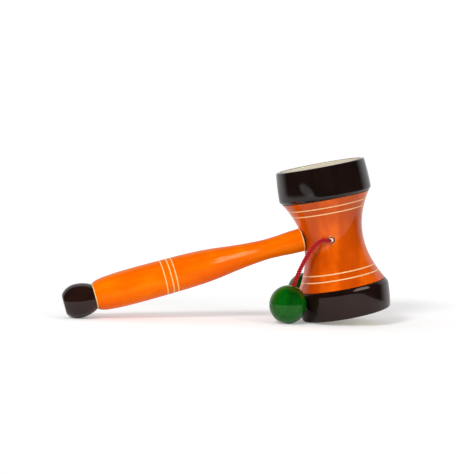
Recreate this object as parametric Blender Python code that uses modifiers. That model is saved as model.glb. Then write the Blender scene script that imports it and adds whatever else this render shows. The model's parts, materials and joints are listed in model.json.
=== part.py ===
"""Turned wooden drum rattle: a waisted drum on a side handle, with two beads on cords that strike its hoops.

Everything is in metres. The rattle lies as it does on a table: on the knob and on the lower hoop's rim.
"""

import math

import bpy
from mathutils import Vector

# Drum, along its own axis from its middle
DRUM_HEIGHT = 0.0823
WAIST_RADIUS = 0.0164
FLARE_RADIUS = 0.0239
WAIST_WALL = 0.0050
END_WALL = 0.0032

# Hoops on the two ends of the drum
UPPER_HOOP_HEIGHT = 0.0175
LOWER_HOOP_HEIGHT = 0.0158
UPPER_SHOULDER_RADIUS = 0.0248
LOWER_SHOULDER_RADIUS = 0.0251
UPPER_RIM_RADIUS = 0.0239
LOWER_RIM_RADIUS = 0.0243
HOOP_BEVEL = 0.0022
RIM_ROUND = 0.0009

# Wall that each hoop's bore leaves where the hoop is narrowest
UPPER_HOOP_WALL = 0.00103
LOWER_HOOP_WALL = 0.0020

# Heads inside the hoops
HEAD_THICKNESS = 0.0010
HEAD_RECESS = 0.0006

# Handle, along its own axis, which leaves the drum's axis a little above its middle and droops
HANDLE_RISE = 0.0044
HANDLE_DROOP = math.radians(3.8)
HANDLE_STANDOFF = 0.0010
HANDLE_LENGTH = 0.1164
HANDLE_END_RADIUS = 0.0064
NECK_RADIUS = 0.0055
NECK_REACH = 0.0198
SWELL_RADIUS = 0.0096
SWELL_REACH = 0.0901
TENON_RADIUS = 0.0040

# Knob on the handle's far end
KNOB_LENGTH = 0.0164
KNOB_RADIUS = 0.0092
KNOB_BELLY = 0.0087
KNOB_JOINT_RADIUS = 0.0069
KNOB_END_RADIUS = 0.0052
KNOB_TENON_RADIUS = 0.0035
KNOB_TENON_LENGTH = 0.0100

# Cord holes, one straight hole through both walls, off the drum's axis on the handle's side
CORD_HOLE_RADIUS = 0.0018
CORD_HOLE_OFFSET = 0.0045
CORD_HOLE_RISE = 0.0013
PEG_RADIUS = 0.0013
PEG_RECESS = 0.0002

# Cords and beads
CORD_RADIUS = 0.00125
BEAD_RADIUS = 0.0101
BEAD_LENGTH = 0.0208
KNOT_RADIUS = 0.0028
LOOSE_GAP = 0.0005

# Where each bead lies: its angle round the drum from the handle's side, and its height off the table
FRONT_BEAD_ANGLE = math.radians(20.2)
FRONT_BEAD_LIFT = 0.0
BACK_BEAD_ANGLE = math.radians(67.0)
BACK_BEAD_LIFT = 0.0037

# In the drum's own axes, the way each cord sets out and its bead's bore points up, and how far each way holds
FRONT_CORD_WAY = (-0.77, 0.20, 0.60)
FRONT_CORD_REACH = 0.0088
FRONT_BEAD_AXIS = (0.46, -0.03, 0.88)
FRONT_BEAD_REACH = 0.0068
BACK_CORD_WAY = (-0.20, 0.80, -0.50)
BACK_CORD_REACH = 0.0060
BACK_BEAD_AXIS = (0.20, -0.45, 0.87)
BACK_BEAD_REACH = 0.0080

# Clearance that pieces which touch keep
SEAT_GAP = 0.0003

# Shares of the way, and of the change in radius, along the handle's outline
KNOB_SHOULDER = ((0.08, 0.40), (0.20, 0.67), (0.33, 0.80), (0.57, 0.94))
SWELL_FALL = ((0.14, 0.14), (0.28, 0.39), (0.42, 0.69), (0.56, 0.875), (0.70, 0.95))
END_FLARE = ((0.33, 0.21), (0.67, 0.73))

# Facets round a full turn
DRUM_STEPS = 48
HANDLE_STEPS = 32
BEAD_STEPS = 28
PEG_STEPS = 16

# Straight runs along a cord's free stretch, along its root that only swings, and through its bead
CORD_SPANS = 9
ROOT_SPANS = 3
BORE_SPANS = 3

HALF = DRUM_HEIGHT / 2
UPPER_EDGE = HALF - UPPER_HOOP_HEIGHT
LOWER_EDGE = HALF - LOWER_HOOP_HEIGHT
SHELL_END = HALF - HEAD_RECESS - HEAD_THICKNESS - SEAT_GAP


def clear_scene():
    for obj in list(bpy.data.objects):
        bpy.data.objects.remove(obj)


def new_collection(name):
    collection = bpy.data.collections.new(name)
    bpy.context.scene.collection.children.link(collection)
    return collection


def linear(channel):
    return channel / 12.92 if channel <= 0.04045 else ((channel + 0.055) / 1.055) ** 2.4


def material(name, hex_colour, roughness):
    made = bpy.data.materials.new(name)
    made.use_nodes = True
    shader = made.node_tree.nodes["Principled BSDF"]
    colour = [linear(int(hex_colour[i : i + 2], 16) / 255) for i in (1, 3, 5)]
    shader.inputs["Base Color"].default_value = (*colour, 1.0)
    shader.inputs["Roughness"].default_value = roughness
    shader.inputs["Metallic"].default_value = 0.0
    return made


def empty(name, parent=None, location=(0, 0, 0), rotation=(0, 0, 0)):
    made = bpy.data.objects.new(name, None)
    made.parent = parent
    made.location = location
    made.rotation_euler = rotation
    parts.objects.link(made)
    return made


def fair(keys, per_span):
    """Points on a smooth curve through (place, radius) keys that doesn't overshoot them."""
    spans = [(b[1] - a[1]) / (b[0] - a[0]) for a, b in zip(keys, keys[1:])]
    slopes = [spans[0]]
    for before, after in zip(spans, spans[1:]):
        together = before * after
        slopes.append(2 * together / (before + after) if together > 0 else 0.0)
    slopes.append(spans[-1])
    points = [keys[0]]
    for i, (a, b) in enumerate(zip(keys, keys[1:])):
        width = b[0] - a[0]
        for step in range(1, per_span + 1):
            t = step / per_span
            rise = a[1] * (1 + 2 * t) * (1 - t) ** 2 + b[1] * t * t * (3 - 2 * t)
            lean = slopes[i] * t * (1 - t) ** 2 - slopes[i + 1] * t * t * (1 - t)
            points.append((a[0] + t * width, rise + width * lean))
    return points


def arc(centre, radius, start, end, count):
    """Points (r, z) on a circle round centre, at angles from the r axis."""
    angles = [start + (end - start) * i / count for i in range(count + 1)]
    return [(centre[0] + radius * math.cos(a), centre[1] + radius * math.sin(a)) for a in angles]


def bulge(belly_z, belly_r, cut_z, cut_r, count):
    """Points (r, z) on an ellipse from its cut end up to its belly."""
    half_length = (cut_z - belly_z) / math.sqrt(1 - (cut_r / belly_r) ** 2)
    start = math.asin(cut_r / belly_r)
    angles = [start + (math.pi / 2 - start) * i / count for i in range(count + 1)]
    return [(belly_r * math.sin(a), belly_z + half_length * math.cos(a)) for a in angles]


def turned(name, outline, steps, finish, parent, closed=False):
    """An outline of (r, z) points, down its outer side, turned round its own Z with a flat facet to -X."""
    half_facet = math.pi / steps
    verts = [(r * math.cos(half_facet), r * math.sin(half_facet), z) for r, z in outline]
    edges = [(i, i + 1) for i in range(len(verts) - 1)]
    if closed:
        edges.append((len(verts) - 1, 0))
    mesh = bpy.data.meshes.new(name)
    mesh.from_pydata(verts, edges, [])
    mesh.materials.append(finish)
    made = bpy.data.objects.new(name, mesh)
    made.parent = parent
    parts.objects.link(made)
    turn = made.modifiers.new("Turn", "SCREW")
    turn.steps = steps
    turn.render_steps = steps
    turn.merge_threshold = 0.00001
    turn.use_merge_vertices = True
    turn.use_smooth_shade = True
    return made


def cut(target, name, radius, length, parent, location, rotation=(0, 0, 0)):
    """Drills target with a round cutter whose middle is at location."""
    bpy.ops.mesh.primitive_cylinder_add(vertices=HANDLE_STEPS, radius=radius, depth=length)
    cutter = bpy.context.object
    cutter.name = name
    for collection in list(cutter.users_collection):
        collection.objects.unlink(cutter)
    cutters.objects.link(cutter)
    cutter.parent = parent
    cutter.location = location
    cutter.rotation_euler = rotation
    cutter.hide_render = True
    cutter.display_type = "WIRE"
    drill = target.modifiers.new(name, "BOOLEAN")
    drill.operation = "DIFFERENCE"
    drill.solver = "EXACT"
    drill.object = cutter


def body_radius(z):
    return WAIST_RADIUS + (FLARE_RADIUS - WAIST_RADIUS) * (z / LOWER_EDGE) ** 2


UPPER_HOOP = (UPPER_SHOULDER_RADIUS, UPPER_RIM_RADIUS, body_radius(UPPER_EDGE))
LOWER_HOOP = (LOWER_SHOULDER_RADIUS, LOWER_RIM_RADIUS, body_radius(LOWER_EDGE))
UPPER_BORE = min(UPPER_HOOP) - UPPER_HOOP_WALL
LOWER_BORE = min(LOWER_HOOP) - LOWER_HOOP_WALL
UPPER_SPIGOT = UPPER_BORE - SEAT_GAP
LOWER_SPIGOT = LOWER_BORE - SEAT_GAP


def chamber_radius(z):
    waist = WAIST_RADIUS - WAIST_WALL
    mouth = (UPPER_SPIGOT if z > 0 else LOWER_SPIGOT) - END_WALL
    return waist + (mouth - waist) * (z / SHELL_END) ** 2


def evenly(start, end, count):
    return [start + (end - start) * i / count for i in range(count + 1)]


def shell_outline():
    upper_ledge = UPPER_EDGE - SEAT_GAP
    lower_ledge = LOWER_EDGE - SEAT_GAP
    outside = [(body_radius(z), z) for z in evenly(upper_ledge, -lower_ledge, 14)]
    inside = [(chamber_radius(z), z) for z in evenly(-SHELL_END, SHELL_END, 10)]
    top = [(UPPER_SPIGOT, SHELL_END), (UPPER_SPIGOT, upper_ledge)]
    foot = [(LOWER_SPIGOT, -lower_ledge), (LOWER_SPIGOT, -SHELL_END)]
    return top + outside + foot + inside


def hoop_outline(edge, shoulder_radius, rim_radius, foot_radius, bore):
    """A hoop's outline, rim up: rounded rim, barrelled wall, bevel down to the drum's body, bore."""
    rim_top = HALF - RIM_ROUND
    shoulder = edge + HOOP_BEVEL
    rim = arc((rim_radius - RIM_ROUND, rim_top), RIM_ROUND, math.pi / 2, 0, 4)
    swell = shoulder_radius - rim_radius
    wall = []
    for share in evenly(1, 0, 5)[1:]:
        wall.append((shoulder_radius - swell * share**2, shoulder + (rim_top - shoulder) * share))
    return [(bore, HALF), *rim, *wall, (foot_radius, edge), (bore, edge)]


def upside_down(outline):
    return [(r, -z) for r, z in reversed(outline)]


def lower_hoop_outline():
    return upside_down(hoop_outline(LOWER_EDGE, *LOWER_HOOP, LOWER_BORE))


def head_outline(radius):
    top = HALF - HEAD_RECESS
    foot = top - HEAD_THICKNESS
    return [(0, top), (radius, top), (radius, foot), (0, foot)]


def between(start, end, shares):
    """Keys from start to end, both (place, radius), at the given shares of the way and of the change."""
    keys = [start]
    for way, change in shares:
        place = start[0] + way * (end[0] - start[0])
        keys.append((place, start[1] + change * (end[1] - start[1])))
    return keys


HANDLE_END = (WAIST_RADIUS + HANDLE_STANDOFF) / math.cos(HANDLE_DROOP)
KNOB_JOINT = HANDLE_END + HANDLE_LENGTH


def handle_outline():
    """From the knob's tenon down to the drum's tenon, by distance from the drum's axis."""
    joint = (KNOB_JOINT, KNOB_JOINT_RADIUS)
    swell = (HANDLE_END + SWELL_REACH, SWELL_RADIUS)
    neck = (HANDLE_END + NECK_REACH, NECK_RADIUS)
    drum_end = (HANDLE_END, HANDLE_END_RADIUS)
    fall = tuple((1 - way, 1 - change) for way, change in reversed(SWELL_FALL))
    keys = between(joint, swell, KNOB_SHOULDER) + between(swell, neck, fall)
    keys += between(neck, drum_end, END_FLARE) + [drum_end]
    grip = [(r, place) for place, r in fair(keys, 2)]
    knob_tenon_end = KNOB_JOINT + KNOB_TENON_LENGTH
    tenon_end = WAIST_RADIUS - WAIST_WALL
    far = [(0, knob_tenon_end), (KNOB_TENON_RADIUS, knob_tenon_end), (KNOB_TENON_RADIUS, KNOB_JOINT)]
    near = [(TENON_RADIUS, HANDLE_END), (TENON_RADIUS, tenon_end), (0, tenon_end)]
    return far + grip + near


def knob_outline():
    start = KNOB_JOINT + SEAT_GAP
    end = start + KNOB_LENGTH
    belly = start + KNOB_BELLY
    outer = bulge(belly, KNOB_RADIUS, end, KNOB_END_RADIUS, 7)
    inner = bulge(belly, KNOB_RADIUS, start, KNOB_JOINT_RADIUS, 5)[:-1]
    bore = KNOB_TENON_RADIUS + SEAT_GAP
    bore_end = KNOB_JOINT + KNOB_TENON_LENGTH + SEAT_GAP
    return [(0, end), *outer, *reversed(inner), (bore, start), (bore, bore_end), (0, bore_end)]


def lowest_of_drum(lean):
    return min(z * math.cos(lean) - r * math.sin(lean) for r, z in lower_hoop_outline())


def lowest_of_knob(lean):
    slope = lean + HANDLE_DROOP
    rise = HANDLE_RISE * math.cos(lean)
    return min(rise - z * math.sin(slope) - r * math.cos(slope) for r, z in knob_outline())


def resting_lean():
    """How far the drum leans once both the lower rim and the knob are on the table."""
    low, high = 0.0, math.radians(60)
    for _ in range(50):
        middle = (low + high) / 2
        if lowest_of_knob(middle) > lowest_of_drum(middle):
            low = middle
        else:
            high = middle
    return low


def middle_of_length(lean):
    """Half way along the rattle, from the drum's middle."""
    slope = lean + HANDLE_DROOP
    right = max(r * math.cos(lean) - z * math.sin(lean) for r, z in lower_hoop_outline())
    left = max(z * math.cos(slope) + r * math.sin(slope) for r, z in knob_outline())
    return (right - left - HANDLE_RISE * math.sin(lean)) / 2


def bezier(a, b, c, d, count):
    points = []
    for t in evenly(0, 1, count):
        points.append(a * (1 - t) ** 3 + b * 3 * t * (1 - t) ** 2 + c * 3 * t * t * (1 - t) + d * t**3)
    return points


def tube(name, points, radius, finish, parent):
    curve = bpy.data.curves.new(name, "CURVE")
    curve.dimensions = "3D"
    curve.bevel_depth = radius
    curve.bevel_resolution = 2
    curve.use_fill_caps = True
    curve.materials.append(finish)
    spline = curve.splines.new("POLY")
    spline.points.add(len(points) - 1)
    for place, point in zip(spline.points, points):
        place.co = (*point, 1.0)
    made = bpy.data.objects.new(name, curve)
    made.parent = parent
    parts.objects.link(made)
    return made


COUNTERBORE_RADIUS = KNOT_RADIUS + SEAT_GAP
BEAD_FOOT = BEAD_LENGTH / 2 * math.sqrt(1 - (COUNTERBORE_RADIUS / BEAD_RADIUS) ** 2)
KNOT_PLACE = BEAD_FOOT - KNOT_RADIUS - SEAT_GAP
COUNTERBORE_FLOOR = KNOT_PLACE - KNOT_RADIUS - SEAT_GAP


def bead_outline():
    """A ball a little longer than wide, bored for the cord, with a counterbore for the knot at its foot."""
    bore = CORD_RADIUS + SEAT_GAP
    top = math.asin(bore / BEAD_RADIUS)
    foot = math.pi - math.asin(COUNTERBORE_RADIUS / BEAD_RADIUS)
    angles = evenly(top, foot, 14)
    ball = [(BEAD_RADIUS * math.sin(a), BEAD_LENGTH / 2 * math.cos(a)) for a in angles]
    return [*ball, (COUNTERBORE_RADIUS, -COUNTERBORE_FLOOR), (bore, -COUNTERBORE_FLOOR)]


def peg(name, side):
    """A pin in the cord's hole, from the drum's surface through the wall."""
    surface = math.sqrt(body_radius(CORD_HOLE_RISE) ** 2 - CORD_HOLE_OFFSET**2)
    inside = math.sqrt(chamber_radius(CORD_HOLE_RISE) ** 2 - CORD_HOLE_OFFSET**2)
    top = surface - PEG_RECESS
    outline = [(0, top), (PEG_RADIUS, top), (PEG_RADIUS, inside), (0, inside)]
    made = turned(name, outline, PEG_STEPS, pale_wood, drum)
    made.location = (-CORD_HOLE_OFFSET, 0, CORD_HOLE_RISE)
    made.rotation_euler = (math.radians(-90 * side), 0, 0)


def bead_centre(side, angle, lift, axis):
    """Beside the lower hoop at that angle round the drum, its lowest point lift above the table."""
    upright = axis.x * math.sin(lean) + axis.z * math.cos(lean)
    half_height = math.hypot(BEAD_LENGTH / 2 * upright, BEAD_RADIUS * math.sqrt(1 - upright**2))
    out = max(LOWER_HOOP) + LOOSE_GAP + BEAD_RADIUS
    x = -out * math.cos(angle)
    z = (half_height + lift - drum.location.z - x * math.sin(lean)) / math.cos(lean)
    return Vector((x, side * out * math.sin(angle), z))


def cord_root(side):
    """Just off the drum's surface, at the edge of the cord's hole that faces the handle."""
    x = -CORD_HOLE_OFFSET - CORD_HOLE_RADIUS
    out = body_radius(CORD_HOLE_RISE) + LOOSE_GAP + CORD_RADIUS
    return Vector((x, side * math.sqrt(out**2 - x**2), CORD_HOLE_RISE))


def striker(name, side, angle, lift, cord_way, cord_reach, bead_axis, bead_reach):
    """A cord from its hole in the drum's waist through a bead to the knot below it.

    side is -1 in front and 1 behind.
    """
    axis = Vector(bead_axis).normalized()
    root = cord_root(side)
    centre = bead_centre(side, angle, lift, axis) - root
    swing = empty(name + "_swing", drum, root)
    entry = centre + axis * BEAD_LENGTH / 2
    end = centre - axis * COUNTERBORE_FLOOR
    way = Vector(cord_way).normalized() * cord_reach
    free = bezier(Vector(), way, entry + axis * bead_reach, entry, CORD_SPANS)
    bored = [entry.lerp(end, share) for share in evenly(0, 1, BORE_SPANS)[1:]]
    bend = empty(name + "_sway", swing, free[ROOT_SPANS])
    onward = [point - free[ROOT_SPANS] for point in free[ROOT_SPANS:] + bored]
    onward[0] = onward[1].normalized() * LOOSE_GAP
    tube(name + "_cord_root", free[: ROOT_SPANS + 1], CORD_RADIUS, red_cord, swing)
    tube(name + "_cord", onward, CORD_RADIUS, red_cord, bend)
    centre -= free[ROOT_SPANS]
    bead = turned(name + "_bead", bead_outline(), BEAD_STEPS, green_lacquer, bend, closed=True)
    bead.location = centre
    bead.rotation_euler = axis.to_track_quat("Z", "Y").to_euler()
    knot_outline = arc((0, 0), KNOT_RADIUS, math.pi / 2, -math.pi / 2, 8)
    knot = turned(name + "_knot", knot_outline, PEG_STEPS, red_cord, bend)
    knot.location = centre - axis * KNOT_PLACE
    knot.rotation_euler = bead.rotation_euler


clear_scene()
parts = new_collection("drum_rattle")
cutters = new_collection("cutters")

orange_lacquer = material("orange_lacquer", "#E8660C", 0.2)
dark_lacquer = material("dark_lacquer", "#22130F", 0.2)
green_lacquer = material("green_lacquer", "#0B6A12", 0.2)
cream_head = material("cream_head", "#E8DDBE", 0.6)
red_cord = material("red_cord", "#B01028", 0.8)
pale_wood = material("pale_wood", "#F2D2B4", 0.6)

lean = resting_lean()
drum = empty("drum_axis", None, (-middle_of_length(lean), 0, -lowest_of_drum(lean)), (0, -lean, 0))
grip = empty("handle_axis", drum, (0, 0, HANDLE_RISE), (0, -math.pi / 2 - HANDLE_DROOP, 0))

shell = turned("drum_shell", shell_outline(), DRUM_STEPS, orange_lacquer, drum, closed=True)
tenon_middle = HANDLE_END - WAIST_WALL
cut(shell, "tenon_hole", TENON_RADIUS + SEAT_GAP, 4 * WAIST_WALL, grip, (0, 0, tenon_middle))
hole_place = (-CORD_HOLE_OFFSET, 0, CORD_HOLE_RISE)
cut(shell, "cord_hole", CORD_HOLE_RADIUS, 4 * WAIST_RADIUS, drum, hole_place, (math.pi / 2, 0, 0))

upper = hoop_outline(UPPER_EDGE, *UPPER_HOOP, UPPER_BORE)
turned("upper_hoop", upper, DRUM_STEPS, dark_lacquer, drum, closed=True)
turned("lower_hoop", lower_hoop_outline(), DRUM_STEPS, dark_lacquer, drum, closed=True)
turned("upper_head", head_outline(UPPER_SPIGOT), DRUM_STEPS, cream_head, drum)
turned("lower_head", upside_down(head_outline(LOWER_SPIGOT)), DRUM_STEPS, cream_head, drum)
turned("handle", handle_outline(), HANDLE_STEPS, orange_lacquer, grip)
turned("handle_knob", knob_outline(), HANDLE_STEPS, dark_lacquer, grip)

peg("front_peg", -1)
peg("back_peg", 1)
front_bead = (FRONT_BEAD_AXIS, FRONT_BEAD_REACH)
back_bead = (BACK_BEAD_AXIS, BACK_BEAD_REACH)
striker("front", -1, FRONT_BEAD_ANGLE, FRONT_BEAD_LIFT, FRONT_CORD_WAY, FRONT_CORD_REACH, *front_bead)
striker("back", 1, BACK_BEAD_ANGLE, BACK_BEAD_LIFT, BACK_CORD_WAY, BACK_CORD_REACH, *back_bead)
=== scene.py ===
"""Looks of the turned drum rattle: burnished lac, cut lines, hide heads and twisted cords."""

import json
import math
from collections import namedtuple

import bmesh
import bpy
from mathutils import Matrix, Quaternion, Vector
from mathutils.kdtree import KDTree


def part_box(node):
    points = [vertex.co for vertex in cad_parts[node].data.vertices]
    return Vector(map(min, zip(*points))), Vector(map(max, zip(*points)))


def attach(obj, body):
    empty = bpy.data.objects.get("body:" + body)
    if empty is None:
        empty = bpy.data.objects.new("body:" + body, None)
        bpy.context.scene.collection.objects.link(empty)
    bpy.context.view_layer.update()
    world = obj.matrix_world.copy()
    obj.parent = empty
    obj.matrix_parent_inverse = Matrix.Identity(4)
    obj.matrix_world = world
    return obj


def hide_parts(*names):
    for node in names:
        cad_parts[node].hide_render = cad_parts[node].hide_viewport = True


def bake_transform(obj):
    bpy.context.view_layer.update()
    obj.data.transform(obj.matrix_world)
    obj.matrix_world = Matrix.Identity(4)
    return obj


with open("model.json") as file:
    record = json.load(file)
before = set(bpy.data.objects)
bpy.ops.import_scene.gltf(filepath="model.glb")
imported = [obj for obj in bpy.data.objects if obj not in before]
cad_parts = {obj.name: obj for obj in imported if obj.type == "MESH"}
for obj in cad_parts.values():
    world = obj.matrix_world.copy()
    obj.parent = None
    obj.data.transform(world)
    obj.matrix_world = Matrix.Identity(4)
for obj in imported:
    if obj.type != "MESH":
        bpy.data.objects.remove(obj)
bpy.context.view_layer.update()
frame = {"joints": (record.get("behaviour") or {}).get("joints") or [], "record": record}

MM = 0.001
scene = bpy.context.scene

# Drum, along its own axis from its middle
DRUM_HEIGHT = 82.3 * MM
WAIST_RADIUS = 16.4 * MM
UPPER_FLARE = 24.1 * MM
LOWER_FLARE = 24.3 * MM
WAIST_WALL = 5.0 * MM
END_WALL = 3.2 * MM
SEAT_GAP = 0.3 * MM
DRUM_LINES = (19.28 * MM, 15.92 * MM, -16.58 * MM, -19.99 * MM)

# Hoops: height and bevel, then radii at the shoulder, at the rim, at the foot and of the bore
Hoop = namedtuple("Hoop", "height bevel shoulder rim foot bore")
HOOP_BORE = 21.9 * MM
UPPER_HOOP = Hoop(17.5 * MM, 1.3 * MM, 25.26 * MM, 24.35 * MM, UPPER_FLARE, HOOP_BORE)
LOWER_HOOP = Hoop(15.8 * MM, 2.2 * MM, 25.5 * MM, 24.4 * MM, LOWER_FLARE, HOOP_BORE)
RIM_ROUND = 0.9 * MM
SHOULDER_ROUND = 0.6 * MM
FOOT_ROUND = 0.6 * MM

# Heads inside the hoops
HEAD_THICKNESS = 1.0 * MM
HEAD_RECESS = 0.6 * MM
HEAD_DISH = 0.12 * MM
LIP_THICKNESS = 0.25 * MM
LIP_ROUND = 0.3 * MM

# Handle and knob, by distance from the drum's axis
HANDLE_DROOP = math.radians(3.8)
HANDLE_CLEARANCE = 1.0 * MM
HANDLE_END = (WAIST_RADIUS + HANDLE_CLEARANCE) / math.cos(HANDLE_DROOP)
HANDLE_LENGTH = 116.4 * MM
HANDLE_END_RADIUS = 6.4 * MM
# Distance from the handle's end at the drum, and radius there
NECK = (19.8 * MM, 5.5 * MM)
SWELL = (90.1 * MM, 9.6 * MM)
TENON_RADIUS = 4.0 * MM
KNOB_JOINT = HANDLE_END + HANDLE_LENGTH
KNOB_LENGTH = 16.4 * MM
KNOB_RADIUS = 9.2 * MM
KNOB_BELLY = 8.7 * MM
KNOB_JOINT_RADIUS = 6.9 * MM
KNOB_END_RADIUS = 5.2 * MM
KNOB_END_ROUND = 0.7 * MM
KNOB_TENON_RADIUS = 3.5 * MM
KNOB_TENON_LENGTH = 10.0 * MM
KNOB_END = KNOB_JOINT + SEAT_GAP + KNOB_LENGTH
HANDLE_LINES = (95.64 * MM, 92.22 * MM, 89.74 * MM)
HANDLE_RIM = 0.45 * MM

# Shares of the way, and of the change in radius, along the handle's outline
KNOB_SHOULDER = ((0.08, 0.40), (0.20, 0.67), (0.33, 0.80), (0.57, 0.94))
SWELL_FALL = ((0.14, 0.14), (0.28, 0.39), (0.42, 0.69), (0.56, 0.875), (0.70, 0.95))
END_FLARE = ((0.33, 0.21), (0.67, 0.73))

# Lines cut through the lac to the wood
LINE_WIDTH = 0.62 * MM
LINE_DEPTH = 0.22 * MM

# Cord holes and the pegs in them
HOLE_OFFSET = 4.5 * MM
HOLE_RISE = 1.3 * MM
HOLE_RADIUS = 1.8 * MM
CHIP_RADIUS = 2.1 * MM
CHIP_DEPTH = 0.2 * MM
CHIP_RAGGED = 0.14
PEG_RADIUS = 1.3 * MM
PEG_RECESS = 0.2 * MM
PEG_ROUND = 0.3 * MM
# Radius and depth of points on the dimple in a peg's end
PEG_DIMPLE = ((0.0, 0.25 * MM), (0.22 * MM, 0.05 * MM), (0.45 * MM, 0.0))
# Shapes that cut a hole stand this far out of the drum
PROUD = 1.0 * MM

# Beads, cords and knots
BEAD_RADIUS = 10.1 * MM
BEAD_LENGTH = 20.8 * MM
BEAD_CHIP = 1.9 * MM
BEAD_CHIP_DEPTH = 0.35 * MM
BEAD_RAGGED = 0.12
CORD_RADIUS = 1.25 * MM
CORD_LAY = 4.4 * MM
YARN_LAY = 2.6 * MM
# Yarns are pressed into one another, so they are this much thicker than three that only touch
YARN_PRESS = 1.15
KNOT_RADIUS = 2.8 * MM
KNOT_CORD = 0.9 * MM
KNOT_DEPTH = 1.25
COUNTERBORE_RADIUS = KNOT_RADIUS + SEAT_GAP
BEAD_FOOT = BEAD_LENGTH / 2 * math.sqrt(1 - (COUNTERBORE_RADIUS / BEAD_RADIUS) ** 2)
KNOT_PLACE = BEAD_FOOT - KNOT_RADIUS - SEAT_GAP
COUNTERBORE_FLOOR = KNOT_PLACE - KNOT_RADIUS - SEAT_GAP

# The way each cord sets out, in the drum's own axes, how far that leads the cord,
# and how far the way of its bead's bore does
FRONT_CORD = ((-0.77, 0.20, 0.60), 8.8 * MM, 6.8 * MM)
BACK_CORD = ((-0.20, 0.80, -0.50), 6.0 * MM, 8.0 * MM)

# Share of its width that a crushed cord starts with, and how far along it is full
CORD_START = (0.96, 3.0 * MM)
STUB_START = (0.55, 4.0 * MM)
# The cord's end in its hole, from the hole's mouth: back along the drum, inwards and up
STUB_INSIDE = (-1.5 * MM, 2.5 * MM, 0.3 * MM)
STUB_EDGE = (-1.4 * MM, 0.0, 0.3 * MM)
STUB_LEAD = 1.0 * MM

# Shares of the cord's radius at the grooves' bottom, where painted shade is full, and a strand's
# top, where it ends
GROOVE = 0.72
CROWN = 0.96

# Camera, as the photograph was taken
CAMERA_TURN = math.radians(10.031)
CAMERA_TILT = math.radians(2.914)
CAMERA_ROLL = math.radians(1.900)
CAMERA_DISTANCE = 837.4 * MM
CAMERA_AIM = Vector((3.80, 0.0, 45.25)) * MM
CAMERA_LENS = 117.77
CAMERA_SENSOR = 36.0

# Brightness of the dim room, of the white sweep in the gloss, and of what lights matt surfaces
ROOM_LEVEL = 0.015
SWEEP_LEVEL = 0.80
AMBIENT = 0.54
# The way to the middle of the sweep, and the cosines between which its edge fades in
SWEEP_WAY = (0.199, 0.980, 0.0)
SWEEP_EDGE = (0.22, 0.56)

# Floor from left to right and from front to back; white added to it, and where from and to
FLOOR = ((-0.225, 0.325), (-0.335, 1.2))
FLOOR_GLOW = (0.20, 0.50)
FLOOR_FADE = (0.12, 0.45)

# Lamps: place, aim, size of the face and power
KEY = ((-0.574, -0.914, 0.748), (0.02, 0, 0.04), (0.3, 0.3), 8.6)
FILL = ((0.76, -0.86, 0.62), (0.05, 0, 0.04), (0.4, 0.4), 1.7)
BOUNCE = ((-0.045, -0.085, 0.003), (-0.045, 0, 0.035), (0.17, 0.06), 0.035)
HANDLE_STRIP = ((0.29, -0.955, 0.50), (0, -0.007, 0.035), (0.13, 0.82), 5.9)
HANDLE_STRIP_LEAN = math.radians(8.2)
UPPER_CARD = ((-0.315, -0.250, 0.004), (-0.315, -0.250, 1), (0.25, 0.25), 0.13)
LOWER_STRIP = ((0.392, -0.474, 0.719), (0.06, 0, 0.03), (0.62, 0.16), 1.0)

# Steps round a full turn
TURN_STEPS = 160
TENON_STEPS = 64
HOLE_STEPS = 48
PEG_STEPS = 32
# Steps along outlines and routes
BODY_STEPS = 90
WALL_STEPS = 24
HEAD_STEPS = 16
BALL_STEPS = 72
ROUND_STEPS = 6
FREE_STEPS = 120
BORE_STEPS = 20
STUB_STEPS = 24
KNOT_STEPS = 96
STRAND_STEP = 0.16 * MM
PATH_STEP = 0.5 * MM
# Points closer than this are one, and edges sharper than this are not smoothed
MERGE = 0.001 * MM
SHARP = math.radians(32)

HALF = DRUM_HEIGHT / 2
UPPER_EDGE = HALF - UPPER_HOOP.height
LOWER_EDGE = HALF - LOWER_HOOP.height
SHELL_END = HALF - HEAD_RECESS - HEAD_THICKNESS - SEAT_GAP
SPIGOT_RADIUS = HOOP_BORE - SEAT_GAP


def seat(origin, up, across):
    """A turned piece's own axes: Z along up, X towards across."""
    z = up.normalized()
    y = z.cross(across).normalized()
    turn = Matrix((y.cross(z), y, z)).transposed()
    return Matrix.Translation(origin) @ turn.to_4x4()


def middle(node):
    """The middle of a CAD node's box."""
    low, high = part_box(node)
    return (low + high) / 2


joints = {joint["name"]: joint for joint in frame["joints"]}
mounts = {mount["name"]: mount for mount in frame["record"]["mounts"]}
drum_up = middle("upper_head") - middle("lower_head")
drum_seat = seat((middle("upper_head") + middle("lower_head")) / 2, drum_up, Vector((1, 0, 0)))
knob_way = Vector(mounts["knob_end_face"]["axis"])
knob_end = Vector(mounts["knob_end_face"]["pos_m"])
handle_seat = seat(knob_end - knob_way * KNOB_END, knob_way, Vector((0, 0, 1)))


# Materials


def linear(code):
    """An sRGB hex colour as linear RGBA."""
    channels = [int(code[i : i + 2], 16) / 255 for i in (1, 3, 5)]
    return [c / 12.92 if c <= 0.04045 else ((c + 0.055) / 1.055) ** 2.4 for c in channels] + [1.0]


def add(tree, kind, inputs, **settings):
    """Adds a node with its settings; each input takes another node's output or a plain value."""
    made = tree.nodes.new("ShaderNode" + kind)
    for name, value in settings.items():
        setattr(made, name, value)
    for socket, value in inputs.items():
        if isinstance(value, bpy.types.NodeSocket):
            tree.links.new(value, made.inputs[socket])
        else:
            made.inputs[socket].default_value = value
    return made


def surface(name, values):
    """A new material, its tree and its shader, with the values that hold all over."""
    made = bpy.data.materials.new(name)
    made.use_nodes = True
    shader = made.node_tree.nodes["Principled BSDF"]
    for socket, value in values.items():
        shader.inputs[socket].default_value = value
    return made, made.node_tree, shader


def cells(place, *size_mm):
    """A mapping to cells of the given size in millimetres along a piece's own axes."""
    size = [step * MM for step in size_mm]
    return {"Location": place.to_translation(), "Rotation": place.to_euler(), "Scale": size}


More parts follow.
